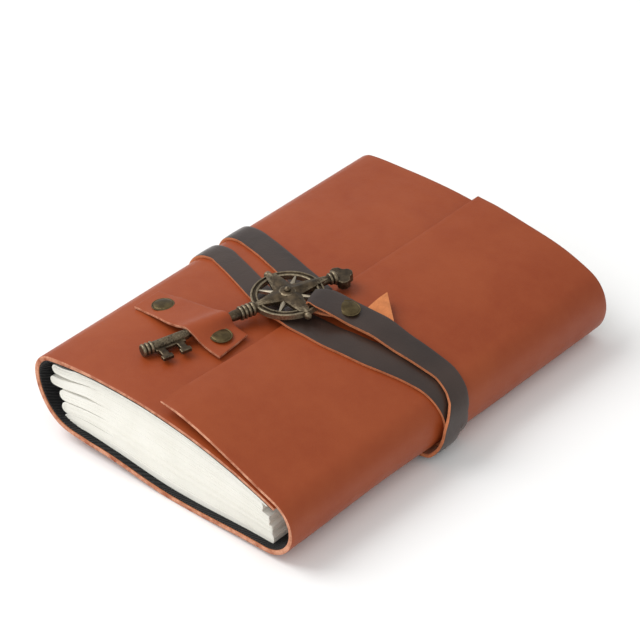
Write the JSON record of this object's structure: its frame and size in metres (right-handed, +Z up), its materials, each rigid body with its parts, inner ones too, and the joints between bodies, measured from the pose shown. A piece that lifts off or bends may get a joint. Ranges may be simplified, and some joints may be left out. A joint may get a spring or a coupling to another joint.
{
  "type": "diary with lock",
  "caption": "Soft leather diary with a fold-over flap, sewn page sections and a strap wound round it, fastened by an ornamental compass key under a riveted keeper.",
  "frame": {"origin": "on the table, under the middle of the leather cover", "axes": "+X from the spine to the fore edge, +Y along the spine to the head, +Z up out of the front cover"},
  "size_m": [0.1298, 0.178, 0.0465],
  "materials": {
    "saddle_leather": "satin",
    "strap_leather": "satin",
    "lining_cloth": "matte",
    "paper": "matte",
    "thread": "matte",
    "antique_bronze": "satin",
    "rivet_bronze": "satin"
  },
  "bodies": {
    "book": {"back_cover": "saddle_leather", "back_lining": "lining_cloth", "signature_1": "paper", "sewing_threads": "thread"},
    "front_cover": {"front_cover": "saddle_leather", "front_lining": "lining_cloth", "key_keeper": "saddle_leather", "keeper_rivet_caps": "rivet_bronze", "keeper_rivet_posts": "rivet_bronze", "wrap_strap": "strap_leather", "strap_anchor_rivet": "rivet_bronze"},
    "flap": {"flap": "saddle_leather"},
    "signature_2": {"signature_2": "paper"},
    "signature_3": {"signature_3": "paper"},
    "signature_4": {"signature_4": "paper"},
    "signature_5": {"signature_5": "paper"},
    "key": {"key_casting": "antique_bronze", "compass_rose": "antique_bronze", "rose_boss": "antique_bronze", "strap_rivet_cap": "rivet_bronze", "strap_rivet_post": "rivet_bronze"}
  },
  "joints": [
    {"name": "front_cover_fold", "type": "hinge", "parent": "book", "child": "front_cover", "pos_m": [-0.062, 0, 0.02394], "axis": [0, -1, 0], "range_deg": [0, 175], "deforming": ["wrap_strap", "flap"]},
    {"name": "flap_fold", "type": "hinge", "parent": "book", "child": "flap", "pos_m": [0.062, 0, 0.013], "axis": [0, 1, 0], "range_deg": [0, 165]},
    {"name": "signature_2_turn", "type": "hinge", "parent": "book", "child": "signature_2", "pos_m": [-0.05078, 0, 0.01138], "axis": [0, -1, 0], "range_deg": [0, 12]},
    {"name": "signature_3_turn", "type": "hinge", "parent": "book", "child": "signature_3", "pos_m": [-0.05495, 0, 0.01677], "axis": [0, -1, 0], "range_deg": [0, 24]},
    {"name": "signature_4_turn", "type": "hinge", "parent": "book", "child": "signature_4", "pos_m": [-0.0566, 0, 0.02215], "axis": [0, -1, 0], "range_deg": [0, 35]},
    {"name": "signature_5_turn", "type": "hinge", "parent": "book", "child": "signature_5", "pos_m": [-0.05501, 0, 0.02754], "axis": [0, -1, 0], "range_deg": [0, 50]},
    {"name": "key_slide", "type": "slide", "parent": "front_cover", "child": "key", "axis": [-0.12, 0.9922, 0.035], "range_m": [0, 0.045], "deforming": ["key_keeper"]}
  ],
  "couplings": [
    {"joint": "flap_fold", "follows": "front_cover_fold", "ratio": 0.94285},
    {"joint": "signature_2_turn", "follows": "front_cover_fold", "ratio": 0.06857},
    {"joint": "signature_3_turn", "follows": "front_cover_fold", "ratio": 0.13714},
    {"joint": "signature_4_turn", "follows": "front_cover_fold", "ratio": 0.2},
    {"joint": "signature_5_turn", "follows": "front_cover_fold", "ratio": 0.28571}
  ]
}
